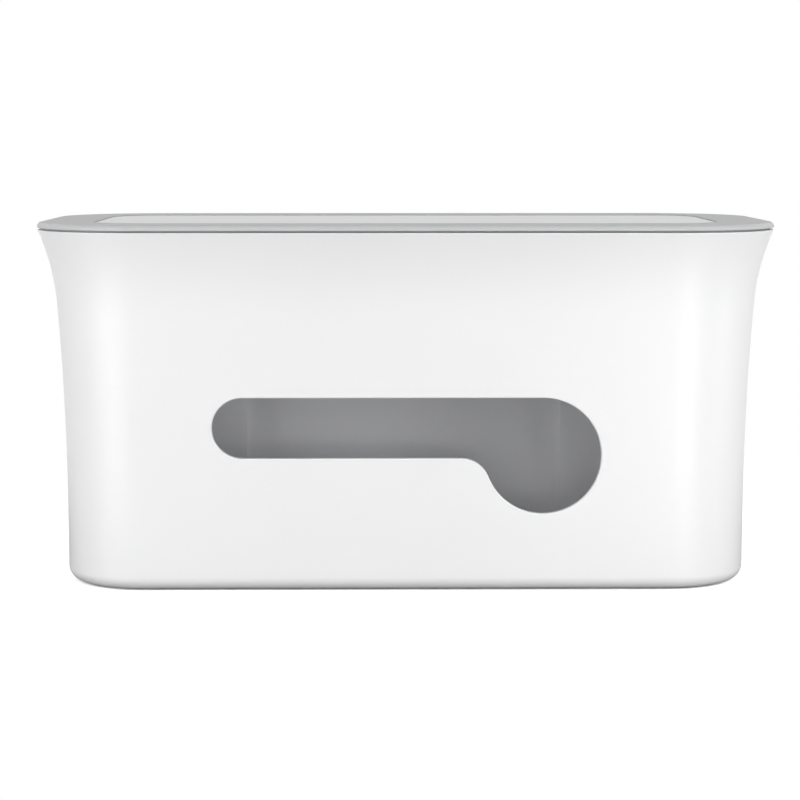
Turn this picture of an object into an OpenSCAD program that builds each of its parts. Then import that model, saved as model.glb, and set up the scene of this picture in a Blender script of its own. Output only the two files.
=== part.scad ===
// Cable management box: a flared, thin-walled tub that hides a power strip, with a
// key-shaped cable opening in its front wall, a drop-in lid and four non-slip feet.
// Millimetres. +X runs along the length, the cable opening faces -Y, +Z is up.
// The origin is on the table, under the middle of the box.

/* [Tub] */
// Length of the tub at its base
base_length = 260; // [240:1:320]
// Depth of the tub at its base, front to back
base_depth = 115; // [105:1:150]
// Height of the tub, from its underside to its rim
tub_height = 133.8; // [124:0.2:160]
// Plan radius of the tub's corners at its base
base_corner_r = 31; // [26:0.5:36]
// Thickness of the walls and of the floor
wall = 2.4; // [1.8:0.1:3]
// Radius of the rounded edge between the walls and the underside
base_fillet = 5; // [4:0.5:8]

/* [Flare] */
// Height above the underside up to which the walls stand upright
upright_height = 30; // [20:1:40]
// Radius of the long, slow curve of the walls above that height
draft_radius = 1030; // [850:10:1400]
// Radius of the outward curve under the rim
flare_radius = 88; // [74:1:110]
// Height of the outward curve, measured down from the rim
flare_height = 28.4; // [22:0.2:33]

/* [Cable opening] */
// Length of the whole opening, from the slot's round end to the far side of the plug hole
opening_length = 144.6; // [120:0.2:170]
// Height of the slot that the cables lie in
slot_height = 22.6; // [14:0.2:28]
// Diameter of the round hole that a plug passes through
plug_hole_d = 43.4; // [36:0.2:52]
// Radius that rounds the corner between the slot and the plug hole
slot_blend_r = 11; // [6:0.5:14]
// Height of the opening's straight top edge above the underside
opening_top = 72.5; // [64:0.5:84]

/* [Finger recess in the rear wall] */
// Width of the recess's flat back
recess_width = 100; // [70:1:130]
// Depth of the recess, in from the rear wall at its base
recess_depth = 6; // [3:0.5:8]
// Plan radius of the recess's upright corners
recess_corner_r = 22; // [16:0.5:26]
// Height of the recess's finger ledge above the underside
recess_height = 89; // [75:1:98]

/* [Lid] */
// How far the lid's lower edge stands out over the rim
lid_overhang = 0.1; // [0:0.1:1]
// Height of the lid's flat top above the rim
lid_thickness = 2.8; // [2.6:0.1:3.6]
// Height of the shadow gap between the lid's edge and the rim
seam_gap = 0.7; // [0.5:0.1:1.1]
// Width of the flat seat under the lid that rests on the rim
seat_width = 1.1; // [0.8:0.1:1.6]
// How far the lid's sloping side brings its upper edge in from its lower one
lid_edge_inset = 1; // [0.5:0.1:1.3]
// Radius of the lid's upper outer edge
lid_edge_r = 0.5; // [0.3:0.1:0.7]
// Depth of the skirt that locates the lid inside the tub
skirt_depth = 7; // [4:0.5:12]
// Thickness of the skirt
skirt_wall = 1.6; // [1.2:0.1:2.4]
// Clearance between the skirt's lower edge and the tub
skirt_clearance = 0.5; // [0.3:0.1:1]
// Depth of the stiffening ribs under the lid
rib_depth = 4; // [2:0.5:6]
// Thickness of the stiffening ribs
rib_wall = 1.4; // [1:0.1:2]
// Number of ribs that run from front to back
cross_ribs = 5; // [3:1:9]

/* [Lid panel] */
// Width of the lid's frame around the inlaid panel
panel_margin = 21.5; // [16:0.5:24]
// Thickness of the inlaid panel
panel_thickness = 1; // [0.8:0.1:1.2]
// Distance of the panel's face below the frame's face
panel_drop = 0.3; // [0.1:0.1:0.5]
// Width of the joint line around the panel
panel_clearance = 0.3; // [0.2:0.1:0.6]

/* [Feet] */
// Diameter of a foot
foot_d = 12; // [8:0.5:16]
// Distance from the tub's sides to a foot's centre
foot_inset = 20; // [16:0.5:24]
// How far the feet hold the underside above the table
foot_proud = 0.5; // [0.4:0.1:2]
// Depth of the recess that a foot is bonded into
foot_recess = 0.8; // [0.5:0.1:1.2]
// Clearance around a foot in its recess
foot_clearance = 0.2; // [0.1:0.05:0.4]
// Radius of a foot's lower edge
foot_edge_r = 0.5; // [0.2:0.1:0.6]

/* [Hidden] */

// Facets of an ordinary arc, and of the very long arcs of the walls
arc_fn = 96;
long_arc_fn = 2880;
// How far a cutting shape runs past the face that it cuts
over = 1;
// Step that a worked-out height is kept to, so that the parts of a section meet on it
height_step = 0.001;

// Corner axes: every plan outline of the tub and the lid turns about these four points
axis_x = base_length / 2 - base_corner_r;
axis_y = base_depth / 2 - base_corner_r;

// Heights above the table
underside_z = foot_proud;
floor_top_z = underside_z + wall;
fillet_top_z = underside_z + base_fillet;
upright_top_z = underside_z + upright_height;
rim_z = underside_z + tub_height;
flare_z = rim_z - flare_height;
lid_top_z = rim_z + lid_thickness;

// Lean of the wall where the long curve hands over to the flare
flare_lean = asin((flare_z - upright_top_z) / draft_radius);
// Distance of that point, and of the centres of both curves, from the corner axis
flare_start_u = base_corner_r + draft_radius * (1 - cos(flare_lean));
draft_centre_u = base_corner_r + draft_radius;
flare_centre_u = flare_start_u + flare_radius * cos(flare_lean);
flare_centre_z = flare_z - flare_radius * sin(flare_lean);

// Distance of the wall's skin from the corner axis at a height within the flare
function flare_u(z, inset) =
    flare_centre_u - sqrt(pow(flare_radius + inset, 2) - pow(z - flare_centre_z, 2));

rim_u = flare_u(rim_z, 0);
lid_u = rim_u + lid_overhang;
skirt_u = flare_u(rim_z - skirt_depth, wall) - skirt_clearance;
seat_u = flare_u(rim_z, wall) + seat_width;

// The panel and the pocket that it lies in
pocket_u = lid_u - panel_margin;
panel_top_z = lid_top_z - panel_drop;
pocket_z = panel_top_z - panel_thickness;

// ---------------------------------------------------------------- plan sweep

// Carries a profile round the rounded rectangle whose corner axes are given. The profile's
// first coordinate is the distance out from the corner axis, its second is the height.
module sweep_round(half_x, half_y) {
    for (turn = [0:3]) {
        along = turn % 2 == 0 ? half_x : half_y;
        aside = turn % 2 == 0 ? half_y : half_x;
        rotate([0, 0, 90 * turn])
            translate([along, aside, 0]) {
                rotate_extrude(angle = 90, $fn = arc_fn)
                    children();
                rotate([90, 0, 0])
                    linear_extrude(height = 2 * aside)
                        children();
            }
    }
}

// A plate that closes the middle of a sweep, between the four corner axes
module sweep_core(low_z, high_z) {
    translate([-axis_x, -axis_y, low_z])
        cube([2 * axis_x, 2 * axis_y, high_z - low_z]);
}

// ---------------------------------------------------------------- tub

// Half section of the tub's outer form, set in by a distance all round. The base fillet,
// an upright stretch, the long draft curve and the flare follow each other tangentially.
module tub_section(inset, top_z) {
    fillet_r = base_fillet - inset;
    side_u = base_corner_r - inset;
    handover_z = round((flare_z + inset * sin(flare_lean)) / height_step) * height_step;
    translate([0, underside_z + inset])
        square([side_u - fillet_r, fillet_r]);
    intersection() {
        translate([side_u - fillet_r, fillet_top_z])
            circle(r = fillet_r, $fn = arc_fn);
        translate([side_u - fillet_r, underside_z + inset])
            square([fillet_r, fillet_r]);
    }
    translate([0, fillet_top_z])
        square([side_u, upright_top_z - fillet_top_z]);
    difference() {
        translate([0, upright_top_z])
            square([rim_u, handover_z - upright_top_z]);
        translate([draft_centre_u, upright_top_z])
            circle(r = draft_radius + inset, $fn = long_arc_fn);
    }
    difference() {
        translate([0, handover_z])
            square([rim_u + over, top_z - handover_z]);
        translate([flare_centre_u, flare_centre_z])
            circle(r = flare_radius + inset, $fn = 4 * arc_fn);
    }
}

// Section of the wall with the floor that it stands on
module wall_section() {
    difference() {
        tub_section(0, rim_z);
        tub_section(wall, rim_z + over);
    }
}

// Front view of the cable opening: a slot that ends in a round plug hole. The slot's top
// edge runs tangent into the hole, and its lower edge turns down into it round a blend.
module opening_outline() {
    slot_r = slot_height / 2;
    hole_r = plug_hole_d / 2;
    top_z = underside_z + opening_top;
    slot_left_x = -opening_length / 2 + slot_r;
    slot_low_z = top_z - slot_height;
    hole_x = opening_length / 2 - hole_r;
    hole_z = top_z - hole_r;
    blend_z = slot_low_z - slot_blend_r;
    blend_x = hole_x - sqrt(pow(hole_r + slot_blend_r, 2) - pow(hole_z - blend_z, 2));
    translate([slot_left_x, top_z - slot_r])
        circle(r = slot_r, $fn = arc_fn);
    translate([slot_left_x, slot_low_z])
        square([hole_x - slot_left_x, slot_height]);
    translate([hole_x, hole_z])
        circle(r = hole_r, $fn = arc_fn);
    difference() {
        polygon([
            [blend_x, slot_low_z],
            [hole_x, slot_low_z],
            [hole_x, hole_z],
            [blend_x, blend_z]
        ]);
        translate([blend_x, blend_z])
            circle(r = slot_blend_r, $fn = arc_fn);
    }
}

// The opening's cutter: it passes through the front wall and stops inside the tub
module opening_cut() {
    cut_from_y = -axis_y - lid_u - over;
    cut_to_y = -axis_y - base_corner_r + 2 * wall + over;
    translate([0, cut_to_y, 0])
        rotate([90, 0, 0])
            linear_extrude(height = cut_to_y - cut_from_y)
                opening_outline();
}

// Plan of the finger recess, grown all round by a distance. It lies in the rear wall, and
// its two upright corners are arcs that meet the wall at a crease.
module recess_plan(grow) {
    corner_r = recess_corner_r + grow;
    back_y = axis_y + base_corner_r - recess_depth;
    depth = lid_u - base_corner_r + recess_depth + over;
    translate([-recess_width / 2, back_y - grow])
        square([recess_width, depth + grow]);
    for (side = [-1, 1])
        intersection() {
            translate([side * recess_width / 2, back_y + recess_corner_r])
                circle(r = corner_r, $fn = arc_fn);
            translate([side * recess_width / 2 - corner_r, back_y - grow])
                square([2 * corner_r, depth + grow]);
        }
}

// Upright block over the recess's plan, from below the tub up to a height
module recess_block(grow, low_z, high_z) {
    translate([0, 0, low_z])
        linear_extrude(height = high_z - low_z)
            recess_plan(grow);
}

// The step inside the tub that carries the wall round the recess at an even thickness
module recess_wall() {
    intersection() {
        recess_block(wall, underside_z, underside_z + recess_height + wall);
        translate([-axis_x, axis_y, 0])
            rotate([90, 0, 90])
                linear_extrude(height = 2 * axis_x)
                    tub_section(0, rim_z);
    }
}

// Shallow round pockets in the underside that the feet are bonded into
module foot_pockets() {
    for (side = [-1, 1])
        for (end = [-1, 1])
            translate([side * foot_x, end * foot_y, underside_z - over])
                cylinder(d = foot_d + 2 * foot_clearance, h = foot_recess + over, $fn = arc_fn);
}

module body_shell() {
    color("whitesmoke")
        difference() {
            union() {
                sweep_round(axis_x, axis_y)
                    wall_section();
                sweep_core(underside_z, floor_top_z);
                recess_wall();
            }
            recess_block(0, underside_z - over, underside_z + recess_height);
            opening_cut();
            foot_pockets();
        }
}

// ---------------------------------------------------------------- lid

// Half section of the lid's frame: the sloping outer side over its shadow gap, the seat
// that rests on the rim, the skirt and the thin pocket floor under the panel
module lid_section() {
    edge_z = rim_z + seam_gap;
    top_u = lid_u - lid_edge_inset;
    side_lean = atan2(lid_edge_inset, lid_top_z - edge_z);
    round_reach = lid_edge_r * tan(45 - side_lean / 2);
    translate([0, rim_z])
        square([seat_u, pocket_z - rim_z]);
    translate([pocket_u, rim_z])
        square([seat_u - pocket_u, lid_thickness]);
    polygon([
        [pocket_u, edge_z],
        [lid_u, edge_z],
        [top_u + round_reach * sin(side_lean), lid_top_z - round_reach * cos(side_lean)],
        [top_u - round_reach, lid_top_z],
        [pocket_u, lid_top_z]
    ]);
    translate([top_u - round_reach, lid_top_z - lid_edge_r])
        circle(r = lid_edge_r, $fn = arc_fn);
    translate([skirt_u - skirt_wall, rim_z - skirt_depth])
        square([skirt_wall, skirt_depth + over / 2]);
}

// Ribs under the lid, from side to side inside the skirt
module lid_ribs() {
    reach_x = axis_x + skirt_u - skirt_wall / 2;
    reach_y = axis_y + skirt_u - skirt_wall / 2;
    rib_low_z = rim_z - rib_depth;
    height = rib_depth + over / 2;
    pitch = 2 * axis_x / (cross_ribs + 1);
    for (i = [1 : cross_ribs])
        translate([-axis_x + i * pitch - rib_wall / 2, -reach_y, rib_low_z])
            cube([rib_wall, 2 * reach_y, height]);
    for (side = [-1, 1])
        translate([-reach_x, side * axis_y / 2 - rib_wall / 2, rib_low_z])
            cube([2 * reach_x, rib_wall, height]);
}

module lid_frame() {
    color("lightgray")
        union() {
            sweep_round(axis_x, axis_y)
                lid_section();
            sweep_core(rim_z, pocket_z);
            lid_ribs();
        }
}

module lid_panel() {
    color("gainsboro")
        union() {
            sweep_round(axis_x, axis_y)
                translate([0, pocket_z])
                    square([pocket_u - panel_clearance, panel_thickness]);
            sweep_core(pocket_z, panel_top_z);
        }
}

// ---------------------------------------------------------------- feet

foot_x = base_length / 2 - foot_inset;
foot_y = base_depth / 2 - foot_inset;

// A soft disc with a rounded lower edge
module foot(x, y) {
    r = foot_d / 2;
    height = foot_proud + foot_recess;
    color("silver")
        translate([x, y, 0])
            rotate_extrude($fn = arc_fn) {
                translate([0, foot_edge_r])
                    square([r, height - foot_edge_r]);
                square([r - foot_edge_r, foot_edge_r]);
                intersection() {
                    translate([r - foot_edge_r, foot_edge_r])
                        circle(r = foot_edge_r, $fn = arc_fn);
                    translate([r - foot_edge_r, 0])
                        square([foot_edge_r, foot_edge_r]);
                }
            }
}

body_shell();
lid_frame();
lid_panel();
foot(-foot_x, -foot_y);  // foot_front_left
foot(foot_x, -foot_y);  // foot_front_right
foot(-foot_x, foot_y);  // foot_rear_left
foot(foot_x, foot_y);  // foot_rear_right
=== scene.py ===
"""Dressed model of a cable management box: a flared tub with a key-shaped cable opening,
a drop-in lid with an inlaid panel, and four non-slip feet.

Every skin is a grid of points worked out as whole arrays: a flat profile carried along a
plan path, or a window of rings that spreads from the opening's outline to a rectangle.
The grids share their edge points, so that they weld into closed, round-edged skins.
All sizes are in metres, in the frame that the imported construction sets.
"""

from __future__ import annotations

import logging
import math
from collections.abc import Mapping, Sequence
from dataclasses import dataclass, field
from enum import Enum
from typing import Any, NamedTuple

import bmesh
import bpy
import numpy as np
from mathutils import Matrix, Vector


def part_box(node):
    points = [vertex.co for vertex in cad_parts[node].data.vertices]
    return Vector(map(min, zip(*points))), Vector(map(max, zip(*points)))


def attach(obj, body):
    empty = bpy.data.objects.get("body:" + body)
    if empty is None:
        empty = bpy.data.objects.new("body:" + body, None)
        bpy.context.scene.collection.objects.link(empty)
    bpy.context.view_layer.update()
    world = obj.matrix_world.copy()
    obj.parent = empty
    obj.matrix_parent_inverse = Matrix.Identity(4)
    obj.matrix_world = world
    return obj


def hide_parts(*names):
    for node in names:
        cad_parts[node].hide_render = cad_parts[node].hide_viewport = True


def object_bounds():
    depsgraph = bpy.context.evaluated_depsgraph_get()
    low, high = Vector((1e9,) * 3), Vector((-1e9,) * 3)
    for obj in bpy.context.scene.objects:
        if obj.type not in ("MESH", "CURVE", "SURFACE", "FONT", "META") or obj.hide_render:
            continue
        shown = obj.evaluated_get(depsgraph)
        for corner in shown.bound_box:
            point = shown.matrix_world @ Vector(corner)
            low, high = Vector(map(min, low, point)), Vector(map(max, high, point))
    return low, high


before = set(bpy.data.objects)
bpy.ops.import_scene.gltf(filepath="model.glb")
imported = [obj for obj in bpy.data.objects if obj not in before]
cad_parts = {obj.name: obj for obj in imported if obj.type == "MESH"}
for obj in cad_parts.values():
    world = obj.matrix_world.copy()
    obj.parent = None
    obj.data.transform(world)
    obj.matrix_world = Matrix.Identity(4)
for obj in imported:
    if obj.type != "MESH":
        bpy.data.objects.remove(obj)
CAD_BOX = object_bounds()

Array = np.ndarray
Material = bpy.types.Material
Object = bpy.types.Object
Socket = bpy.types.NodeSocket

MM = 0.001
# Points that are nearer to each other than this become one.
WELD = 0.001 * MM
# Slack for comparing heights that were worked out in two ways.
SLACK = 1e-9
LOG = logging.getLogger("cable_box")


# ---- meshes


class Path(NamedTuple):
    """A plan path: at each step a centre point and the outward direction from it."""

    centres: Array
    normals: Array


class Side(Enum):
    """The four straight sides of a plan outline, in the order that the path runs them."""

    FRONT = 0
    RIGHT = 1
    REAR = 2
    LEFT = 3

    @property
    def angle(self) -> float:
        """Direction that the side faces, in radians from +X."""
        return (self.value - 1) * math.pi / 2


def join_paths(*paths: Path) -> Path:
    """Joins paths end to end.

    Args:
        paths: The paths, each starting where the last one ends.

    Returns:
        One path, with each shared end point kept once.
    """
    first, *rest = paths
    centres = [first.centres, *(path.centres[1:] for path in rest)]
    normals = [first.normals, *(path.normals[1:] for path in rest)]
    return Path(np.concatenate(centres), np.concatenate(normals))


@dataclass(frozen=True)
class Plan:
    """A rounded rectangle, given by the axes that its four corners turn about.

    Attributes:
        half_x: Distance of the corner axes from the middle, along the length.
        half_y: Distance of the corner axes from the middle, front to back.
    """

    half_x: float
    half_y: float

    def side(self, side: Side, steps: int) -> Path:
        """The straight path along a side: centre = normal d + tangent s, s from -half to half.

        Args:
            side: Which side.
            steps: Number of equal steps.

        Returns:
            The path between two corner axes, with the side's normal throughout.
        """
        sizes = (self.half_y, self.half_x)
        out, half = sizes if side in (Side.FRONT, Side.REAR) else sizes[::-1]
        normal = np.array([[math.cos(side.angle), math.sin(side.angle)]])
        tangent = np.array([[-normal[0, 1], normal[0, 0]]])
        along = np.linspace(-half, half, steps + 1)[:, None]
        return Path(normal * out + tangent * along, np.repeat(normal, steps + 1, axis=0))

    def turn(self, side: Side, steps: int) -> Path:
        """The quarter turn that follows a side: one centre, its normal turning by 90 degrees.

        Args:
            side: The side that the turn comes after.
            steps: Number of equal steps.

        Returns:
            The path round the corner axis.
        """
        angle = side.angle + np.linspace(0, math.pi / 2, steps + 1)
        centre = np.repeat(self.side(side, 1).centres[-1:], steps + 1, axis=0)
        return Path(centre, np.stack([np.cos(angle), np.sin(angle)], axis=1))

    def loop(self, turn_steps: int, side_steps: int) -> Path:
        """The whole outline, from the front side's start round to it again.

        Args:
            turn_steps: Steps on each corner.
            side_steps: Steps on each side.

        Returns:
            The closed path, its last point equal to its first.
        """
        pairs = ((self.side(side, side_steps), self.turn(side, turn_steps)) for side in Side)
        return join_paths(*(part for pair in pairs for part in pair))


def sweep(profile: Array, path: Path) -> Array:
    """Carries a profile along a path: point = centre + u normal, at the height z.

    Args:
        profile: Rows of (u, z), u being the distance out from the path's centres.
        path: The plan path.

    Returns:
        A grid of points, one row for each profile point and one column for each step.
    """
    out, height = profile[:, 0], profile[:, 1]
    flat = path.centres[None, :, :] + out[:, None, None] * path.normals[None, :, :]
    tall = np.broadcast_to(height[:, None, None], (*flat.shape[:2], 1))
    return np.concatenate([flat, tall], axis=2)


def soften(corners: Sequence[tuple[float, float, float]], steps: int) -> Array:
    """Rounds the corners of a flat line.

    A corner P of radius r becomes the curve (1-t)^2 A + 2t(1-t) P + t^2 B, where A and B lie
    the distance r from P on its two sides.

    Args:
        corners: (u, z, radius) of each corner; the first and last stay as they are.
        steps: Points on each rounded corner, less one.

    Returns:
        Rows of (u, z).
    """
    table = np.array(corners, float)
    points, radius = table[:, :2], table[1:-1, 2, None]
    before, at, after = points[:-2], points[1:-1], points[2:]
    start = at + radius * (before - at) / np.linalg.norm(before - at, axis=1, keepdims=True)
    end = at + radius * (after - at) / np.linalg.norm(after - at, axis=1, keepdims=True)
    t = np.linspace(0, 1, steps + 1)[None, :, None]
    curve = (1 - t) ** 2 * start[:, None] + 2 * t * (1 - t) * at[:, None] + t**2 * end[:, None]
    return np.concatenate([points[:1], curve.reshape(-1, 2), points[-1:]])


@dataclass
class Shell:
    """Grids and caps that are welded into one mesh of closed skins.

    Attributes:
        name: Name of the finished piece.
        sharp_angle: Edges that turn by more than this, in degrees, stay crisp.
    """

    name: str
    sharp_angle: float = 40.0
    _points: list[Array] = field(default_factory=list)
    _quads: list[Array] = field(default_factory=list)
    _caps: list[Array] = field(default_factory=list)
    _count: int = 0

    def _store(self, points: Array) -> int:
        """Keeps points for the mesh.

        Args:
            points: An array of points, of any shape.

        Returns:
            The number of the first of them.
        """
        first = self._count
        self._points.append(points.reshape(-1, 3))
        self._count += points.size // 3
        return first

    def grid(self, points: Array, wrap: bool = False) -> None:
        """Adds a grid of points as quads.

        Args:
            points: Points by row, column and coordinate.
            wrap: Whether the last column joins the first.
        """
        rows, columns = points.shape[:2]
        index = self._store(points) + np.arange(rows * columns).reshape(rows, columns)
        if wrap:
            index = np.concatenate([index, index[:, :1]], axis=1)
        corners = (index[:-1, :-1], index[:-1, 1:], index[1:, 1:], index[1:, :-1])
        self._quads.append(np.stack([corner.ravel() for corner in corners], axis=1))

    def cap(self, loop: Array) -> None:
        """Adds one flat face over a closed loop of points."""
        self._caps.append(self._store(loop) + np.arange(len(loop)))

    def carry(self, section: Array, path: Path) -> None:
        """Adds a section carried round a closed path, with a cap at each of its two ends.

        Args:
            section: Rows of (u, z).
            path: The closed plan path.
        """
        points = sweep(section, path)
        self.grid(points)
        self.cap(points[0, :-1])
        self.cap(points[-1, :-1])

    def build(self, body: str, node: str, slot: str, material: Material) -> Object:
        """Welds what was added and makes the piece.

        Equal points become one. A quad that has lost one corner to that becomes a triangle,
        and one that has lost two is dropped.

        Args:
            body: The moving body that the piece rides on.
            node: The construction's node that the piece stands for.
            slot: The record's material slot; not used.
            material: The piece's finish.

        Returns:
            The finished object, at the origin.
        """
        points = np.concatenate(self._points)
        keys = np.round(points / WELD).astype(np.int64)
        _, first, weld = np.unique(keys, axis=0, return_index=True, return_inverse=True)
        weld = weld.ravel()
        quads = weld[np.concatenate(self._quads)]
        lost = quads == np.roll(quads, -1, axis=1)
        faces = quads[lost.sum(axis=1) == 0].tolist()
        single = lost.sum(axis=1) == 1
        faces += quads[single][~lost[single]].reshape(-1, 3).tolist()
        faces += [weld[cap].tolist() for cap in self._caps]
        mesh = bpy.data.meshes.new(self.name)
        mesh.from_pydata(points[first].tolist(), [], faces)
        work = bmesh.new()
        work.from_mesh(mesh)
        bmesh.ops.recalc_face_normals(work, faces=work.faces)
        work.to_mesh(mesh)
        work.free()
        mesh.shade_smooth()
        mesh.set_sharp_from_angle(angle=math.radians(self.sharp_angle))
        mesh.materials.append(material)
        piece = bpy.data.objects.new(self.name, mesh)
        bpy.context.scene.collection.objects.link(piece)
        evening = piece.modifiers.new("even_normals", "WEIGHTED_NORMAL")
        evening.keep_sharp = True
        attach(piece, body)
        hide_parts(node)
        return piece


# ---- finishes


def linear_colour(hex_code: str) -> tuple[float, float, float, float]:
    """Turns an sRGB hex code into a linear colour.

    A share c of full brightness becomes c / 12.92 up to 0.04045, and beyond that
    ((c + 0.055) / 1.055) to the power of 2.4.

    Args:
        hex_code: Six hex digits, with or without a leading #.

    Returns:
        Linear red, green, blue and an alpha of one.
    """
    code = hex_code.lstrip("#")
    srgb = np.array([int(code[i : i + 2], 16) / 255 for i in (0, 2, 4)])
    linear = np.where(srgb <= 0.04045, srgb / 12.92, ((srgb + 0.055) / 1.055) ** 2.4)
    return (*linear.tolist(), 1.0)


@dataclass(frozen=True)
class Nodes:
    """The shader nodes of a material or of the world, emptied before it is built anew.

    Attributes:
        owner: The material or the world.
    """

    owner: Material | bpy.types.World

    def __post_init__(self) -> None:
        """Turns the owner's nodes on and clears them."""
        self.owner.use_nodes = True
        self.owner.node_tree.nodes.clear()

    def add(
        self, kind: str, inputs: Mapping[str | int, Any] | None = None, **settings: Any
    ) -> bpy.types.Node:
        """Adds a node.

        Args:
            kind: The node's type, without the ShaderNode that all their names start with.
            inputs: For each input socket, its value or the output socket that feeds it.
            settings: Attributes of the node.

        Returns:
            The node.
        """
        tree = self.owner.node_tree
        node = tree.nodes.new(f"ShaderNode{kind}")
        for name, value in settings.items():
            setattr(node, name, value)
        for name, value in (inputs or {}).items():
            if isinstance(value, Socket):
                tree.links.new(value, node.inputs[name])
            else:
                node.inputs[name].default_value = value
        return node

    def remap(
        self,
        value: Socket,
        source: tuple[float, float] = (0.0, 1.0),
        target: tuple[float, float] = (0.0, 1.0),
        clamp: bool = True,
    ) -> Socket:
        """Carries one span of values over to another, in proportion.

        Args:
            value: The value to carry over.
            source: The ends of the span that it comes from.
            target: The ends of the span that it goes to.
            clamp: Whether the result stays between those ends.

        Returns:
            The result.
        """
        spans = zip(("From Min", "From Max", "To Min", "To Max"), (*source, *target))
        inputs = {"Value": value, **dict(spans)}
        return self.add("MapRange", inputs, clamp=clamp).outputs["Result"]

    def combine(self, operation: str, *operands: Any, kind: str = "Math") -> Socket:
        """Adds a maths node, or a vector maths node where kind says VectorMath."""
        return self.add(kind, dict(enumerate(operands)), operation=operation).outputs[0]


@dataclass(frozen=True)
class MouldedFinish:
    """A moulded polymer surface: near-flat colour, a tooled micro-texture and soft gloss.

    Attributes:
        name: Common name of the material and how its surface was made.
        colour: Main colour, as an sRGB hex code.
        flow_colour: Colour that the slow flow marks of moulding drift to.
        roughness: Middle roughness.
        roughness_swing: How far handling and flow change the roughness.
        ior: Index of refraction of the polymer.
        grain_mm: Spacing of the tooled texture.
        grain_depth_mm: Height of the tooled texture.
        wave_mm: Length of the slow waves left by shrinkage.
        wave_depth_mm: Height of those waves.
        flow_mm: Size of the flow marks in the colour.
        crevice_mm: Width of the gaps whose colour is darkened as painted shade; nought for none.
        crevice_tone: Share of the colour that is left deep in such a gap.
    """

    name: str
    colour: str
    flow_colour: str
    roughness: float
    roughness_swing: float
    ior: float
    grain_mm: float
    grain_depth_mm: float
    wave_mm: float
    wave_depth_mm: float
    flow_mm: float
    crevice_mm: float = 0.0
    crevice_tone: float = 0.4

    def material(self) -> Material:
        """Builds the node material.

        Returns:
            The material, with its patterns fixed to the object.
        """
        material = bpy.data.materials.new(self.name)
        nodes = Nodes(material)
        place = nodes.add("TexCoord").outputs["Object"]
        flow = self._noise(nodes, place, self.flow_mm, detail=2.0)
        wave = self._noise(nodes, place, self.wave_mm, detail=1.0)
        grain = self._noise(nodes, place, self.grain_mm, detail=3.0)
        tints = {6: linear_colour(self.colour), 7: linear_colour(self.flow_colour)}
        colour = nodes.add("Mix", {0: flow, **tints}, data_type="RGBA").outputs[2]
        # Painted shade: the colour is darkened in narrow gaps, where shade falls.
        if self.crevice_mm:
            colour = self._painted_gap_shade(nodes, colour)
        low, high = self.roughness - self.roughness_swing, self.roughness + self.roughness_swing
        rough = nodes.remap(flow, target=(low, high), clamp=False)
        relief = {"Height": wave, "Distance": self.wave_depth_mm * MM, "Strength": 1.0}
        waves = nodes.add("Bump", relief).outputs["Normal"]
        relief.update(Height=grain, Distance=self.grain_depth_mm * MM, Normal=waves)
        normal = nodes.add("Bump", relief).outputs["Normal"]
        skin = {"Base Color": colour, "Roughness": rough, "IOR": self.ior, "Normal": normal}
        shader = nodes.add("BsdfPrincipled", skin)
        nodes.add("OutputMaterial", {"Surface": shader.outputs["BSDF"]})
        return material

    def _painted_gap_shade(self, nodes: Nodes, colour: Socket) -> Socket:
        """Paints shade into narrow gaps: darker by how much of the outlook is shut off nearby.

        Args:
            nodes: The material's nodes.
            colour: The clean colour.

        Returns:
            The colour with painted shade in its gaps.
        """
        outlook = nodes.add("AmbientOcclusion", {"Distance": self.crevice_mm * MM}, samples=4)
        tone = nodes.remap(outlook.outputs["AO"], target=(self.crevice_tone, 1.0))
        return nodes.add("VectorMath", {0: colour, "Scale": tone}, operation="SCALE").outputs[0]

    @staticmethod
    def _noise(nodes: Nodes, place: Socket, size_mm: float, detail: float) -> Socket:
        """A noise from nought to one, with lumps of about a size and finer octaves on them."""
        scale = {"Scale": 1 / (size_mm * MM), "Detail": detail, "Roughness": 0.5}
        return nodes.add("TexNoise", {"Vector": place, **scale}).outputs["Fac"]


# Semi-gloss ABS from a polished tool: bright, with a faint orange-peel wave.
WHITE_TUB = MouldedFinish(
    name="white_abs_moulded_semi_gloss",
    colour="#F4F4F5",
    flow_colour="#F0F0F1",
    roughness=0.35,
    roughness_swing=0.04,
    ior=1.54,
    grain_mm=0.9,
    grain_depth_mm=0.0015,
    wave_mm=9.0,
    wave_depth_mm=0.004,
    flow_mm=60.0,
)

# Spark-textured ABS: its fine grain spreads the highlights into a dull sheen.
GREY_FRAME = MouldedFinish(
    name="light_grey_abs_moulded_fine_texture",
    colour="#C6C7C8",
    flow_colour="#C2C3C4",
    roughness=0.5,
    roughness_swing=0.04,
    ior=1.5,
    grain_mm=0.55,
    grain_depth_mm=0.008,
    wave_mm=12.0,
    wave_depth_mm=0.006,
    flow_mm=45.0,
    # Painted shade in the seam over the rim and in the joint round the panel.
    crevice_mm=1.6,
)

# Satin ABS sheet moulding: paler and smoother than the frame round it.
PALE_PANEL = MouldedFinish(
    name="pale_grey_abs_moulded_satin",
    colour="#F5F6F7",
    flow_colour="#F1F2F3",
    roughness=0.36,
    roughness_swing=0.04,
    ior=1.5,
    grain_mm=0.7,
    grain_depth_mm=0.003,
    wave_mm=14.0,
    wave_depth_mm=0.008,
    flow_mm=50.0,
    # Painted shade in the joint round the panel.
    crevice_mm=0.6,
)

# Moulded thermoplastic rubber: soft and dull.
SOFT_FOOT = MouldedFinish(
    name="grey_rubber_moulded_dull",
    colour="#A3A5A6",
    flow_colour="#9A9C9D",
    roughness=0.75,
    roughness_swing=0.06,
    ior=1.5,
    grain_mm=0.4,
    grain_depth_mm=0.012,
    wave_mm=4.0,
    wave_depth_mm=0.01,
    flow_mm=6.0,
)


# ---- opening


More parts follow.
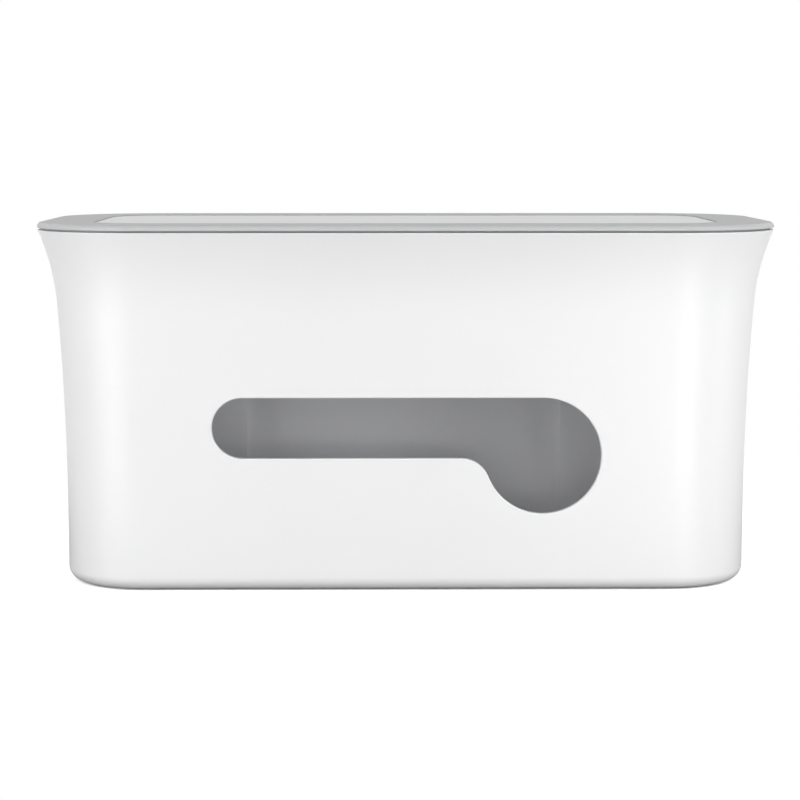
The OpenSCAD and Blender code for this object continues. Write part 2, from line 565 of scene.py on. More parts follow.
@dataclass(frozen=True)
class Arc:
    """Part of a circle in the front view.

    Attributes:
        centre: (x, z) of the centre.
        radius: Radius.
        start: Start angle in radians, from +X towards +Z.
        sweep: Angle turned through; negative is clockwise.
    """

    centre: tuple[float, float]
    radius: float
    start: float
    sweep: float

    @property
    def length(self) -> float:
        """Length of the arc."""
        return abs(self.radius * self.sweep)

    def at(self, share: Array) -> tuple[Array, Array]:
        """Finds points on the arc: centre + r (cos a, sin a), a going from start by the sweep.

        Args:
            share: Shares of the way along, from nought to one.

        Returns:
            The points (x, z) and the unit tangents there.
        """
        angle = self.start + self.sweep * share
        radial = np.stack([np.cos(angle), np.sin(angle)], axis=1)
        turned = np.stack([-radial[:, 1], radial[:, 0]], axis=1)
        return np.array(self.centre) + self.radius * radial, turned * math.copysign(1, self.sweep)


@dataclass(frozen=True)
class Line:
    """A straight stretch in the front view.

    Attributes:
        start: (x, z) of its start.
        end: (x, z) of its end.
    """

    start: tuple[float, float]
    end: tuple[float, float]

    @property
    def length(self) -> float:
        """Length of the line."""
        return math.dist(self.start, self.end)

    def at(self, share: Array) -> tuple[Array, Array]:
        """Points, at start + share (end - start), and unit tangents at shares of the line."""
        way = np.subtract(self.end, self.start)
        return self.start + share[:, None] * way, np.repeat([way / self.length], len(share), axis=0)


def trace(parts: Sequence[Arc | Line], steps: int) -> tuple[Array, Array]:
    """Samples a chain of arcs and lines at equal distances along it.

    Args:
        parts: The chain, each part starting where the last one ends.
        steps: Number of equal steps.

    Returns:
        Points and unit normals. A normal is the tangent turned left by 90 degrees.
    """
    ends = np.cumsum([part.length for part in parts])
    place = np.linspace(0, ends[-1], steps + 1)
    owner = np.minimum(np.searchsorted(ends, place, side="right"), len(parts) - 1)
    points, tangents = np.zeros((steps + 1, 2)), np.zeros((steps + 1, 2))
    for number, part in enumerate(parts):
        mine = owner == number
        share = (place[mine] - ends[number] + part.length) / part.length
        points[mine], tangents[mine] = part.at(share)
    return points, np.stack([-tangents[:, 1], tangents[:, 0]], axis=1)


@dataclass(frozen=True)
class KeyOpening:
    """Outline of the cable opening: a slot that runs tangent into a round plug hole.

    Attributes:
        length: Whole length, from the slot's round end to the far side of the hole.
        slot_height: Height of the slot.
        hole_radius: Radius of the plug hole.
        blend_radius: Radius between the slot's lower edge and the hole.
        top: Height of the straight top edge.
    """

    length: float
    slot_height: float
    hole_radius: float
    blend_radius: float
    top: float

    def outline(self, side_steps: int, long_steps: int) -> tuple[Array, Array]:
        """Samples the outline clockwise, in four stretches: left, top, right and bottom.

        The stretches meet at 45 degrees on the two round ends, so that each can be drawn
        out to one side of a rectangle round the opening.

        Args:
            side_steps: Steps on the left and on the right stretch.
            long_steps: Steps on the top and on the bottom stretch.

        Returns:
            Points (x, z) and unit normals that point from the opening into the wall.
        """
        end_r, hole_r, blend_r = self.slot_height / 2, self.hole_radius, self.blend_radius
        end = (-self.length / 2 + end_r, self.top - end_r)
        hole = (self.length / 2 - hole_r, self.top - hole_r)
        low = self.top - self.slot_height
        reach, drop = hole_r + blend_r, hole[1] - (low - blend_r)
        blend = (hole[0] - math.sqrt(reach**2 - drop**2), low - blend_r)
        lean = math.atan2(hole[1] - blend[1], hole[0] - blend[0])
        eighth = math.pi / 4
        left = [Arc(end, end_r, 5 * eighth, -2 * eighth)]
        top = [
            Arc(end, end_r, 3 * eighth, -eighth),
            Line((end[0], self.top), (hole[0], self.top)),
            Arc(hole, hole_r, 2 * eighth, -eighth),
        ]
        right = [Arc(hole, hole_r, eighth, -2 * eighth)]
        bottom = [
            Arc(hole, hole_r, -eighth, -(3 * eighth - lean)),
            Arc(blend, blend_r, lean, 2 * eighth - lean),
            Line((blend[0], low), (end[0], low)),
            Arc(end, end_r, -2 * eighth, -eighth),
        ]
        counts = (side_steps, long_steps) * 2
        stretches = [trace(*part) for part in zip((left, top, right, bottom), counts)]
        points, normals = (
            np.concatenate([stretch[kind][:-1] for stretch in stretches]) for kind in (0, 1)
        )
        return points, normals


# ---- tub


@dataclass
class Tub:
    """The white tub: its flared wall, base, cable opening and rear finger recess.

    Attributes:
        length: Length at the base.
        depth: Depth at the base, front to back.
        corner_r: Plan radius of the corners at the base.
        wall: Thickness of wall and floor.
        base_fillet: Radius between the wall and the underside.
        upright_height: Height above the underside up to which the walls stand upright.
        draft_r: Radius of the long, slow curve above that height.
        flare_r: Radius of the outward curve under the rim.
        flare_height: Height of that curve below the rim.
        opening_top: Height of the opening's top edge above the underside.
        recess_width: Width of the finger recess's flat back.
        recess_depth: Depth of the recess at the base.
        recess_r: Plan radius of the recess's upright corners.
        recess_height: Height of the recess's ledge above the underside.
        rim_edge: Radius of the rim's two edges.
        opening_edge: Radius of the edges round the opening.
        window_low: Height above the underside at which the rings round the opening end.
        window_high: The same, at their top.
    """

    length: float = 260 * MM
    depth: float = 115 * MM
    corner_r: float = 31 * MM
    wall: float = 2.4 * MM
    base_fillet: float = 5 * MM
    upright_height: float = 30 * MM
    draft_r: float = 1030 * MM
    flare_r: float = 88 * MM
    flare_height: float = 28.4 * MM
    opening_top: float = 72.5 * MM
    recess_width: float = 100 * MM
    recess_depth: float = 6 * MM
    recess_r: float = 22 * MM
    recess_height: float = 89 * MM
    rim_edge: float = 0.45 * MM
    opening_edge: float = 0.45 * MM
    window_low: float = 14 * MM
    window_high: float = 100 * MM

    # Rows of the wall below, beside and above the rings round the opening, and the number of
    # rim edge radii that the topmost row keeps from the rim.
    LOW_ROWS = 5
    BAND_ROWS = 40
    HIGH_ROWS = 22
    RIM_ROOM = 3
    # Steps along the front and the ends, round a plan corner, an edge and the base fillet.
    LONG_STEPS = 132
    END_STEPS = 12
    TURN_STEPS = 24
    ROUND_STEPS = 5
    FILLET_STEPS = 10
    # Rings round the opening, and the power by which they spread out from it.
    RINGS = 14
    RING_SPREAD = 1.7
    # Steps on the rear: as many from a corner to the recess as round the recess's corner, and
    # those on its flat back.
    REAR_STEPS = 9
    RECESS_STEPS = 19

    def __post_init__(self) -> None:
        """Works out the places that follow from the sizes and from the frame."""
        low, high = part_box("body_shell")
        self.underside, self.rim = low.z, high.z
        self.plan = Plan(self.length / 2 - self.corner_r, self.depth / 2 - self.corner_r)
        self.fillet_top = self.underside + self.base_fillet
        self.upright_top = self.underside + self.upright_height
        self.ledge = self.underside + self.recess_height
        self.band = (self.underside + self.window_low, self.underside + self.window_high)
        self.flare_low = self.rim - self.flare_height
        self.lean = math.asin((self.flare_low - self.upright_top) / self.draft_r)
        self.draft_centre = self.corner_r + self.draft_r
        self.flare_centre = (
            self.draft_centre - (self.draft_r - self.flare_r) * math.cos(self.lean),
            self.flare_low - self.flare_r * math.sin(self.lean),
        )
        self.opening = KeyOpening(
            length=144.6 * MM,
            slot_height=22.6 * MM,
            hole_radius=21.7 * MM,
            blend_radius=11 * MM,
            top=self.underside + self.opening_top,
        )

    def skin(self, height: Array, inset: float) -> Array:
        """Distance of the wall's skin from the corner axes at a height.

        Below the flare it is c - sqrt((R + inset)^2 - (z - z0)^2) for the long draft curve,
        with z no lower than z0, and above it the same for the flare's radius and centre.

        Args:
            height: Heights, from the base fillet to the rim.
            inset: Distance in from the outer skin.

        Returns:
            Distances out from the corner axes.
        """
        climb = np.maximum(height - self.upright_top, 0)
        draft_rise = (self.draft_r + inset) ** 2 - climb**2
        draft = self.draft_centre - np.sqrt(draft_rise)
        flare_rise = (self.flare_r + inset) ** 2 - (height - self.flare_centre[1]) ** 2
        flare = self.flare_centre[0] - np.sqrt(np.maximum(flare_rise, 0))
        return np.where(height < self.flare_low + inset * math.sin(self.lean), draft, flare)

    def heights(self) -> Array:
        """Sets the wall's rows, which every side and both skins share.

        Returns:
            Their heights, from the base fillet to just below the rim.
        """
        low, high = self.band
        parts = [
            np.linspace(self.fillet_top, low, self.LOW_ROWS),
            np.linspace(low, high, self.BAND_ROWS),
            [self.ledge, self.ledge + self.wall],
            np.linspace(high, self.rim - self.RIM_ROOM * self.rim_edge, self.HIGH_ROWS),
        ]
        return np.unique(np.concatenate(parts))

    def profile(self) -> tuple[Array, Array, Array]:
        """The wall's section in three parts.

        Returns:
            The outer skin going up, the rim, and the inner skin going down, as (u, z) rows.
        """
        rows = self.heights()
        turn = np.linspace(-math.pi / 2, 0, self.FILLET_STEPS + 1)[:-1]
        foot = self.corner_r - self.base_fillet
        skins = []
        for inset in (0, self.wall):
            radius = self.base_fillet - inset
            fillet = [foot + radius * np.cos(turn), self.fillet_top + radius * np.sin(turn)]
            wall = [self.skin(rows, inset), rows]
            skins.append(np.concatenate([np.stack(part, axis=1) for part in (fillet, wall)]))
        outer, inner = skins
        top = np.array([self.rim])
        rim = soften(
            [
                (*outer[-1], 0),
                (float(self.skin(top, 0)[0]), self.rim, self.rim_edge),
                (float(self.skin(top, self.wall)[0]), self.rim, self.rim_edge),
                (*inner[-1], 0),
            ],
            self.ROUND_STEPS,
        )
        return outer, rim[1:-1], inner[::-1]

    def window(self) -> Array:
        """The front wall round the opening, from the outer skin through to the inner one.

        A ring lies at P + n r + f (B - P - n r), where P is the outline, n its normal, r the
        edge radius, B the rectangle's edge and f the share of the way, which grows as a
        power of the ring's number. Between the two skins the rows follow a quarter circle
        at each edge.

        Returns:
            A grid that closes on itself, one row for each ring.
        """
        rows, (low, high) = self.heights(), self.band
        band = rows[(rows > low - SLACK) & (rows < high + SLACK)]
        half = self.plan.half_x
        across = np.linspace(-half, half, self.LONG_STEPS + 1)
        points, normals = self.opening.outline(len(band) - 1, self.LONG_STEPS)
        sides = (
            (np.full_like(band, -half), band),
            (across, np.full_like(across, high)),
            (np.full_like(band, half), band[::-1]),
            (across[::-1], np.full_like(across, low)),
        )
        edge = np.concatenate([np.stack(side, axis=1)[:-1] for side in sides])
        radius = self.opening_edge
        shoulder = points + normals * radius
        share = (np.linspace(0, 1, self.RINGS + 1) ** self.RING_SPREAD)[:, None, None]
        rings = shoulder[None] + share * (edge - shoulder)[None]
        turn = np.linspace(0, math.pi / 2, self.ROUND_STEPS + 1)[1:, None]
        lip = points[None] + normals[None] * (radius * (1 - np.sin(turn)))[:, :, None]
        lip_depth = radius * (1 - np.cos(turn))
        flat = np.concatenate([rings[::-1], lip, lip[::-1], rings])
        count = len(rings) + len(lip)
        sunk = np.concatenate([np.zeros((len(rings), 1)), lip_depth])
        outer_y = -(self.plan.half_y + self.skin(flat[:count, :, 1], 0)) + sunk
        inner_y = -(self.plan.half_y + self.skin(flat[count:, :, 1], self.wall)) - sunk[::-1]
        deep = np.concatenate([outer_y, inner_y])
        return np.stack([flat[:, :, 0], deep, flat[:, :, 1]], axis=2)

    def rear(self) -> Array:
        """The rear wall with its finger recess, from the underside over the rim to the floor.

        In plan the recess is y = c - sqrt(R^2 - d^2), where d is the distance past the flat
        back's end, and the wall is whichever of recess and skin lies further in. The
        columns follow the crease where the two meet, and a doubled row makes the ledge.

        Returns:
            A grid, with columns from the right end to the left.
        """
        outer, rim, inner = self.profile()
        half_y, flat = self.plan.half_y, self.recess_width / 2
        centre = half_y + self.corner_r - self.recess_depth + self.recess_r

        def split(rows: Array, height: float, rising: bool) -> tuple[Array, Array]:
            """Doubles the row at a height, so that the rows below it can follow the recess.

            Args:
                rows: Rows of (u, z).
                height: Where to double.
                rising: Whether the rows go up.

            Returns:
                The rows, and whether each belongs to the part below.
            """
            below = rows[:, 1] < height + SLACK
            above = rows[:, 1] > height - SLACK
            low, high = rows[below], rows[above]
            order = (low, high) if rising else (high, low)
            marks = [np.full(len(part), part is low) for part in order]
            return np.concatenate(order), np.concatenate(marks)

        up, up_sunk = split(outer, self.ledge, True)
        down, down_sunk = split(inner, self.ledge + self.wall, False)
        rows = np.concatenate([up, rim, down])
        sunk = np.concatenate([up_sunk, np.zeros(len(rim), bool), down_sunk])
        inside = np.concatenate(
            [np.zeros(len(up)), np.linspace(0, 1, len(rim)), np.ones(len(down))]
        )
        radius = np.where(inside > 0.5, self.recess_r + self.wall, self.recess_r)
        wall_y = half_y + rows[:, 0]
        reach = np.sqrt(np.maximum(radius**2 - (centre - wall_y) ** 2, 0))
        reach_out = reach[up_sunk.sum() - 1]
        reach_in = reach[len(up) + len(rim) + int((~down_sunk).sum())]
        crease = flat + np.where(sunk, reach, reach_out + inside * (reach_in - reach_out))
        side = np.linspace(0, 1, self.REAR_STEPS + 1)
        bend = np.sin(np.linspace(0, math.pi / 2, self.REAR_STEPS + 1))
        middle = np.linspace(-1, 1, self.RECESS_STEPS + 1)
        crease = crease[:, None]
        half_x = self.plan.half_x
        right = [
            half_x + (crease - half_x) * side[:-1],
            crease + (flat - crease) * (1 - bend[::-1])[:-1],
        ]
        x = np.concatenate(
            [*right, -middle * flat + 0 * crease, *(-part[:, ::-1] for part in right[::-1])],
            axis=1,
        )
        past = np.maximum(np.abs(x) - flat, 0)
        recess_y = centre - np.sqrt(np.maximum(radius[:, None] ** 2 - past**2, 0))
        wall_y = np.broadcast_to(wall_y[:, None], x.shape)
        y = np.where(sunk[:, None], np.minimum(wall_y, recess_y), wall_y)
        z = np.broadcast_to(rows[:, 1:2], x.shape)
        return np.stack([x, y, z], axis=2)

    def build(self) -> Object:
        """Builds the tub's closed skin.

        Returns:
            The tub.
        """
        outer, rim, inner = self.profile()
        whole = np.concatenate([outer, rim, inner])
        low, high = self.band[0] + SLACK, self.band[1] - SLACK
        front_path = self.plan.side(Side.FRONT, self.LONG_STEPS)
        upper = np.concatenate([outer[outer[:, 1] > high], rim, inner[inner[:, 1] > high]])
        front_low = sweep(outer[outer[:, 1] < low], front_path)
        front_floor = sweep(inner[inner[:, 1] < low], front_path)
        ends = [
            join_paths(
                self.plan.turn(before, self.TURN_STEPS),
                self.plan.side(end, self.END_STEPS),
                self.plan.turn(end, self.TURN_STEPS),
            )
            for before, end in ((Side.FRONT, Side.RIGHT), (Side.REAR, Side.LEFT))
        ]
        right, left = (sweep(whole, path) for path in ends)
        rear = self.rear()
        shell = Shell("tub_skin", sharp_angle=35)
        shell.grid(front_low)
        shell.grid(sweep(upper, front_path))
        shell.grid(front_floor)
        shell.grid(self.window(), wrap=True)
        for grid in (right, rear, left):
            shell.grid(grid)
        for row, front in ((0, front_low), (-1, front_floor)):
            shell.cap(np.concatenate([part[row, :-1] for part in (front, right, rear, left)]))
        return shell.build("tub", "body_shell", "white_plastic", WHITE_TUB.material())


# ---- lid


@dataclass
class Lid:
    """The lid: a grey frame with a skirt and ribs, and the pale panel laid into it.

    Attributes:
        tub: The tub that the lid rests on.
        seam_gap: Height of the shadow gap between the lid's edge and the rim.
        edge_inset: How far the sloping side brings the upper edge in from the widest line.
        seat: Width of the flat seat on the rim.
        panel_margin: Width of the frame round the panel.
        panel_thickness: Thickness of the panel.
        panel_drop: Distance of the panel's face below the frame's.
        panel_clearance: Width of the joint line round the panel.
        skirt_depth: Depth of the locating skirt.
        skirt_wall: Thickness of the skirt.
        skirt_clearance: Clearance between the skirt's lower edge and the tub.
        rib_depth: Depth of the ribs.
        rib_wall: Thickness of the ribs.
        rib_sink: How far the ribs reach into the plate and the skirt.
        cross_ribs: Number of ribs from front to back.
        nose_height: Height of the edge's widest line above its underside.
        undercut: How far the edge draws in again below that line.
        pocket_edge: Radius of the edge round the panel's pocket.
        outer_edge: Radius of the upper outer edge.
        nose_edge: Radius of the edge's widest line.
        seat_edge: Radius of the lower outer edge and of the seat's own edge.
        root_edge: Radius of the inner corners beside the seat.
        skirt_edge: Radius of the skirt's lower edges.
        rib_edge: Radius of the ribs' lower edges.
        panel_edge: Radius of the panel's upper edge.
        panel_lower_edge: Radius of the panel's lower edge.
        panel_band: Width of the band round the panel's two faces, whose middles are flat caps.
    """

    tub: Tub
    seam_gap: float = 0.7 * MM
    edge_inset: float = 1 * MM
    seat: float = 1.1 * MM
    panel_margin: float = 21.5 * MM
    panel_thickness: float = 1 * MM
    panel_drop: float = 0.3 * MM
    panel_clearance: float = 0.3 * MM
    skirt_depth: float = 7 * MM
    skirt_wall: float = 1.6 * MM
    skirt_clearance: float = 0.5 * MM
    rib_depth: float = 4 * MM
    rib_wall: float = 1.4 * MM
    rib_sink: float = 0.3 * MM
    cross_ribs: int = 5
    nose_height: float = 0.9 * MM
    undercut: float = 0.2 * MM
    pocket_edge: float = 0.25 * MM
    outer_edge: float = 0.5 * MM
    nose_edge: float = 0.6 * MM
    seat_edge: float = 0.2 * MM
    root_edge: float = 0.15 * MM
    skirt_edge: float = 0.4 * MM
    rib_edge: float = 0.3 * MM
    panel_edge: float = 0.35 * MM
    panel_lower_edge: float = 0.1 * MM
    panel_band: float = 2 * MM

    # Steps round an edge, round a plan corner and along a side.
    ROUND_STEPS = 5
    TURN_STEPS = 32
    SIDE_STEPS = 4

    def __post_init__(self) -> None:
        """Works out the lid's places from the tub and the frame."""
        _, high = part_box("lid_frame")
        self.top = high.z
        self.rim = self.tub.rim
        self.edge_u = high.x - self.tub.plan.half_x
        at_rim = np.array([self.rim])
        at_skirt = np.array([self.rim - self.skirt_depth])
        self.seat_u = float(self.tub.skin(at_rim, self.tub.wall)[0]) + self.seat
        self.skirt_u = float(self.tub.skin(at_skirt, self.tub.wall)[0]) - self.skirt_clearance
        self.pocket_u = self.edge_u - self.panel_margin
        self.pocket_z = self.top - self.panel_drop - self.panel_thickness
        self.path = self.tub.plan.loop(self.TURN_STEPS, self.SIDE_STEPS)

    def build_frame(self) -> Object:
        """Builds the frame: one profile carried round, a pocket floor and an underside.

        Returns:
            The frame, with its skirt and ribs.
        """
        inner_u, skirt_z = self.skirt_u - self.skirt_wall, self.rim - self.skirt_depth
        edge_z = self.rim + self.seam_gap
        section = soften(
            [
                (self.pocket_u, self.pocket_z, 0),
                (self.pocket_u, self.top, self.pocket_edge),
                (self.edge_u - self.edge_inset, self.top, self.outer_edge),
                (self.edge_u, edge_z + self.nose_height, self.nose_edge),
                (self.edge_u - self.undercut, edge_z, self.seat_edge),
                (self.seat_u, edge_z, self.root_edge),
                (self.seat_u, self.rim, self.seat_edge),
                (self.skirt_u, self.rim, self.root_edge),
                (self.skirt_u, skirt_z, self.skirt_edge),
                (inner_u, skirt_z, self.skirt_edge),
                (inner_u, self.rim, 0),
            ],
            self.ROUND_STEPS,
        )
        shell = Shell("lid_frame_skin")
        shell.carry(section, self.path)
        self._add_ribs(shell, inner_u)
        return shell.build("lid", "lid_frame", "grey_plastic", GREY_FRAME.material())

    def _add_ribs(self, shell: Shell, inner_u: float) -> None:
        """Adds the ribs, each a round-edged bar set a little into the plate and the skirt.

        Args:
            shell: The frame's shell.
            inner_u: Distance of the skirt's inner face from the corner axes.
        """
        plan, sink = self.tub.plan, self.rib_sink
        section = soften(
            [
                (-self.rib_wall / 2, sink, 0),
                (-self.rib_wall / 2, -self.rib_depth, self.rib_edge),
                (self.rib_wall / 2, -self.rib_depth, self.rib_edge),
                (self.rib_wall / 2, sink, 0),
            ],
            self.ROUND_STEPS,
        )
        pitch = 2 * plan.half_x / (self.cross_ribs + 1)
        places = -plan.half_x + pitch * np.arange(1, self.cross_ribs + 1)
        across = [(np.array([place, 0.0]), 1) for place in places]
        along = [(np.array([0.0, side * plan.half_y / 2]), 0) for side in (-1, 1)]
        for middle, axis in across + along:
            reach = (plan.half_y, plan.half_x)[1 - axis] + inner_u + sink
            way, aside = np.eye(2)[axis], np.eye(2)[1 - axis]
            ends = middle + np.array([[-reach], [reach]]) * way
            flat = ends[None, :, :] + section[:, None, :1] * aside
            height = (self.rim + section[:, 1])[:, None, None]
            bar = np.concatenate([flat, np.broadcast_to(height, (*flat.shape[:2], 1))], axis=2)
            shell.grid(np.concatenate([bar, bar[:1]]))
            shell.cap(bar[:, 0])
            shell.cap(bar[:, 1])

    def build_panel(self) -> Object:
        """Builds the inlaid panel: a plate with a rounded upper edge.

        Returns:
            The panel.
        """
        edge = self.pocket_u - self.panel_clearance
        top = self.pocket_z + self.panel_thickness
        section = soften(
            [
                (edge - self.panel_band, self.pocket_z, 0),
                (edge, self.pocket_z, self.panel_lower_edge),
                (edge, top, self.panel_edge),
                (edge - self.panel_band, top, 0),
            ],
            self.ROUND_STEPS,
        )
        shell = Shell("lid_panel_skin")
        shell.carry(section, self.path)
        return shell.build("lid", "lid_panel", "pale_panel", PALE_PANEL.material())

    def build(self) -> list[Object]:
        """Builds both pieces of the lid."""
        return [self.build_frame(), self.build_panel()]


# ---- feet


@dataclass
class Feet:
    """The four non-slip feet.

    Attributes:
        edge: Radius of a foot's lower edge.
        upper_edge: Radius of its upper edge.
        dish: Depth of the shallow dish in a foot's lower face.
        dish_edge: Radius of the bends at the dish's rim.
        dish_share: Share of the foot's radius up to which the dish is flat.
        ring_share: Share of it from which the foot stands on the table.
    """

    edge: float = 0.5 * MM
    upper_edge: float = 0.1 * MM
    dish: float = 0.15 * MM
    dish_edge: float = 0.3 * MM
    dish_share: float = 0.62
    ring_share: float = 0.72

    NODES = ("foot_front_left", "foot_front_right", "foot_rear_left", "foot_rear_right")
    # Steps round a foot and round an edge.
    STEPS = 64
    ROUND_STEPS = 5

    def build_one(self, node: str, material: Material) -> Object:
        """Turns one foot's profile about its upright axis.

        Args:
            node: The foot's node in the construction.
            material: Its finish.

        Returns:
            The foot.
        """
        low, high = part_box(node)
        radius = (high.x - low.x) / 2
        centre = np.array([[(low.x + high.x) / 2, (low.y + high.y) / 2]])
        angle = np.linspace(0, 2 * math.pi, self.STEPS + 1)
        path = Path(
            np.repeat(centre, self.STEPS + 1, axis=0),
            np.stack([np.cos(angle), np.sin(angle)], axis=1),
        )
        section = soften(
            [
                (0, low.z + self.dish, 0),
                (self.dish_share * radius, low.z + self.dish, self.dish_edge),
                (self.ring_share * radius, low.z, self.dish_edge),
                (radius, low.z, self.edge),
                (radius, high.z, self.upper_edge),
                (0, high.z, 0),
            ],
            self.ROUND_STEPS,
        )
        shell = Shell(f"{node}_pad")
        shell.grid(sweep(section, path))
        return shell.build("tub", node, "soft_foot", material)

    def build(self) -> list[Object]:
        """Builds the four feet."""
        material = SOFT_FOOT.material()
        return [self.build_one(node, material) for node in self.NODES]


# ---- studio


@dataclass(frozen=True)
class SoftBox:
    """A rectangular studio lamp.

    Attributes:
        name: Name of the lamp.
        place: Its place.
        aim: The point that it faces.
        size: Its width and height.
        power: Its power in watts.
    """

    name: str
    place: tuple[float, float, float]
    aim: tuple[float, float, float]
    size: tuple[float, float]
    power: float

    def build(self) -> None:
        """Adds the lamp to the scene."""
        lamp = bpy.data.lights.new(self.name, "AREA")
        lamp.shape = "RECTANGLE"
        lamp.size, lamp.size_y = self.size
        lamp.energy = self.power
        holder = bpy.data.objects.new(self.name, lamp)
        way = Vector(self.aim) - Vector(self.place)
        turn = way.to_track_quat("-Z", "Y").to_matrix().to_4x4()
        holder.matrix_world = Matrix.Translation(self.place) @ turn
        holder.visible_camera = False
        bpy.context.scene.collection.objects.link(holder)


@dataclass
class Studio:
    """A pale floor, soft lamps and the camera.

    The strips and side softboxes stand for reflectors: each lays a band of light on a front
    corner. The end glows, inside the tub, stand for light that soaks through its thin ends.
    Floor and surroundings are brighter to the camera than as a light on the box.

    Attributes:
        lens: Focal length in millimetres, on a 36 mm sensor.
        camera_distance: Distance of the camera in front of the lid's front edge.
        camera_height: Height of the camera above the table.
        camera_aside: Distance of the camera from the middle plane, along X.
        heading: Angle that the camera is turned from straight ahead, in radians.
        pitch: Angle that the camera looks down by, in radians.
        ambient: Strength of the even light from all round.
        floor_tone: Share of the light that the floor sends on to the box.
        floor_seen: The floor's tone to the camera, above one so that the floor reads white.
        shade_near: Distance from the box up to which the seen floor keeps its whole shade.
        shade_far: Distance from the box at which it has turned into plain white.
        light_turns: How often light may bounce between dull surfaces, inside the tub above all.
        floor_reach: How far the floor goes on every way.
    """

    lens: float = 97.75
    camera_distance: float = 0.788
    camera_height: float = 0.168
    camera_aside: float = -0.0102
    heading: float = 0.0096
    pitch: float = 0.1194
    ambient: float = 0.25
    floor_tone: float = 0.3
    floor_seen: float = 2.3
    shade_near: float = 0.03
    shade_far: float = 0.25
    light_turns: int = 12
    floor_reach: float = 30.0

    # Points that lamps aim at: the front corners in plan, the box's middle and the recess.
    LEFT = (-0.125, -0.045)
    RIGHT = (0.125, -0.045)
    MIDDLE = (0, 0, 0.07)
    RECESS = (0, 0.0505, 0.055)
    # Sizes that lamps share.
    STRIP = (0.12, 0.12)
    SIDE_BOX = (0.25, 0.28)
    HIGH_BOX = (0.7, 0.6)
    REAR_BOX = (0.9, 0.7)
    GLOW = (0.006, 0.05)

    # Places, aims and sizes were chosen. The powers of the lamps in front were fitted together
    # by a separate program and then rounded by hand; the others were set by eye.
    LAMPS = (
        SoftBox("left_low_strip", (-0.305, -0.345, 0.065), (*LEFT, 0.065), (0.15, 0.12), 0.1),
        SoftBox("left_floor_strip", (-0.23, -0.22, 0.03), (*LEFT, 0.11), (0.1, 0.05), 0.025),
        SoftBox("left_side_softbox", (-0.58, -0.43, 0.15), (*LEFT, 0.15), SIDE_BOX, 1.3),
        SoftBox("right_inner_strip", (0.2, -0.39, 0.065), (*RIGHT, 0.065), STRIP, 0.05),
        SoftBox("right_outer_strip", (0.28, -0.36, 0.065), (*RIGHT, 0.065), STRIP, 0.15),
        SoftBox("right_floor_strip", (0.17, -0.24, 0.03), (*RIGHT, 0.11), (0.08, 0.05), 0.045),
        SoftBox("right_side_softbox", (0.7, -0.2, 0.15), (*RIGHT, 0.15), SIDE_BOX, 0.8),
        SoftBox("left_high_softbox", (-1.35, -0.84, 0.97), MIDDLE, HIGH_BOX, 2.8),
        SoftBox("right_high_softbox", (1.35, -0.84, 0.97), MIDDLE, HIGH_BOX, 3.0),
        SoftBox("front_high_softbox", (0.66, -1.47, 0.97), MIDDLE, HIGH_BOX, 7.0),
        SoftBox("front_low_softbox", (0, -1.82, 0.44), MIDDLE, (0.8, 0.4), 2.0),
        SoftBox("front_level_softbox", (0, -1.06, 0.14), (0, 0, 0.05), (0.3, 0.06), 0.8),
        SoftBox("rear_left_softbox", (-0.97, 1.09, 0.87), MIDDLE, REAR_BOX, 1.8),
        SoftBox("rear_right_softbox", (0.97, 1.09, 0.87), MIDDLE, REAR_BOX, 1.8),
        SoftBox("rear_low_softbox", (0, 1.3, 0.065), (0, 0, 0.065), (0.9, 0.11), 9.0),
        SoftBox("left_end_glow", (-0.108, 0.0505, 0.055), RECESS, GLOW, 0.002),
        SoftBox("right_end_glow", (0.108, 0.0505, 0.055), RECESS, GLOW, 0.002),
    )

    def build(self) -> None:
        """Builds the camera, the lamps, the surroundings and the floor."""
        self._camera()
        for lamp in self.LAMPS:
            lamp.build()
        self._world()
        self._floor()
        bpy.context.scene.cycles.diffuse_bounces = self.light_turns
        bpy.context.scene.view_settings.view_transform = "Standard"

    def _camera(self) -> None:
        """Adds the camera, level from side to side and looking slightly down."""
        camera = bpy.data.cameras.new("camera")
        camera.lens = self.lens
        holder = bpy.data.objects.new("camera", camera)
        front = CAD_BOX[0][1]
        holder.location = (self.camera_aside, front - self.camera_distance, self.camera_height)
        holder.rotation_euler = (math.pi / 2 - self.pitch, 0, -self.heading)
        bpy.context.scene.collection.objects.link(holder)
        bpy.context.scene.camera = holder

    @staticmethod
    def _seen(nodes: Nodes, ray: bpy.types.Node) -> Socket:
        """Tells whether a ray shows the background directly, in gloss or through glass.

        Args:
            nodes: The nodes of the background.
            ray: Their light path node.

        Returns:
            One where it does, and nought elsewhere.
        """
        camera, gloss, glass = (
            ray.outputs[f"Is {kind} Ray"] for kind in ("Camera", "Glossy", "Transmission")
        )
        return nodes.combine("MAXIMUM", nodes.combine("MAXIMUM", camera, gloss), glass)

    def _world(self) -> None:
        """White where it is seen, and a plain soft light everywhere else."""
        world = bpy.data.worlds.new("studio")
        bpy.context.scene.world = world
        nodes = Nodes(world)
        seen = self._seen(nodes, nodes.add("LightPath"))
        strength = nodes.remap(seen, target=(self.ambient, 1.0))
        sky = nodes.add("Background", {"Color": (1, 1, 1, 1), "Strength": strength})
        nodes.add("OutputWorld", {"Surface": sky.outputs[0]})

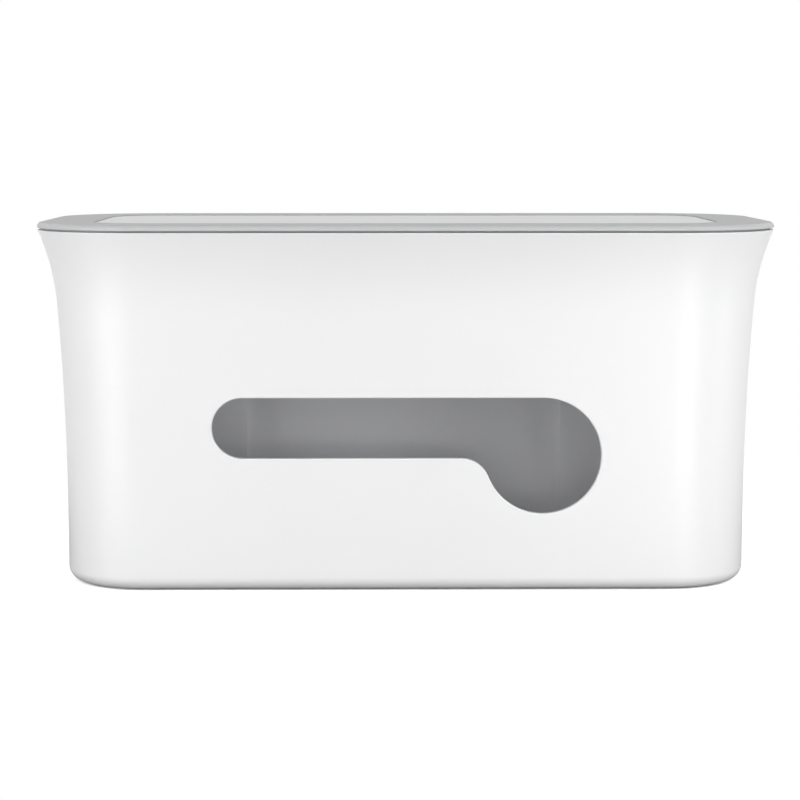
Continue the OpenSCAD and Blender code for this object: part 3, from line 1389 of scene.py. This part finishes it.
    def _shade(self, nodes: Nodes) -> Socket:
        """How far a place on the floor is out of the box's shade, from nought to one.

        The distance is taken from a bar with half-round ends, |max(|p| - h, 0)| - r.

        Args:
            nodes: The floor's nodes.

        Returns:
            Nought within shade_near of the box and one beyond shade_far.
        """
        radius = (CAD_BOX[1][1] - CAD_BOX[0][1]) / 2
        half_x = (CAD_BOX[1][0] - CAD_BOX[0][0]) / 2 - radius
        place = nodes.add("TexCoord").outputs["Object"]
        folded = nodes.combine("ABSOLUTE", place, kind="VectorMath")
        past = nodes.combine("SUBTRACT", folded, (half_x, 0, 0), kind="VectorMath")
        outside = nodes.combine("MAXIMUM", past, (0, 0, 0), kind="VectorMath")
        away = nodes.add("VectorMath", {0: outside}, operation="LENGTH").outputs["Value"]
        return nodes.remap(away, source=(radius + self.shade_near, radius + self.shade_far))

    def _floor(self) -> None:
        """A wide, pale floor that keeps the box's shadow."""
        material = bpy.data.materials.new("pale_matt_floor")
        nodes = Nodes(material)
        ray = nodes.add("LightPath")
        seen = self._seen(nodes, ray)
        tones = (self.floor_tone, self.floor_seen)
        tone = nodes.remap(ray.outputs["Is Camera Ray"], target=tones)
        matt = nodes.add("BsdfDiffuse", {"Color": tone}).outputs[0]
        white = nodes.add("Emission", {"Color": (1, 1, 1, 1), "Strength": 1.0}).outputs[0]
        share = nodes.combine("MULTIPLY", seen, self._shade(nodes))
        blend = nodes.add("MixShader", {0: share, 1: matt, 2: white})
        nodes.add("OutputMaterial", {"Surface": blend.outputs[0]})
        mesh = bpy.data.meshes.new("floor")
        reach = self.floor_reach
        corners = [(-reach, -reach, 0), (reach, -reach, 0), (reach, reach, 0), (-reach, reach, 0)]
        mesh.from_pydata(corners, [], [(0, 1, 2, 3)])
        mesh.materials.append(material)
        floor = bpy.data.objects.new("floor", mesh)
        bpy.context.scene.collection.objects.link(floor)


def main() -> None:
    """Builds the studio and the box in order, and notes each piece's faces and finish."""
    logging.basicConfig(level=logging.INFO, format="%(message)s")
    Studio().build()
    tub = Tub()
    pieces = [tub.build(), *Lid(tub).build(), *Feet().build()]
    for piece in pieces:
        mesh = piece.data
        LOG.info("%s: %d faces of %s", piece.name, len(mesh.polygons), mesh.materials[0].name)


if __name__ == "__main__":
    main()
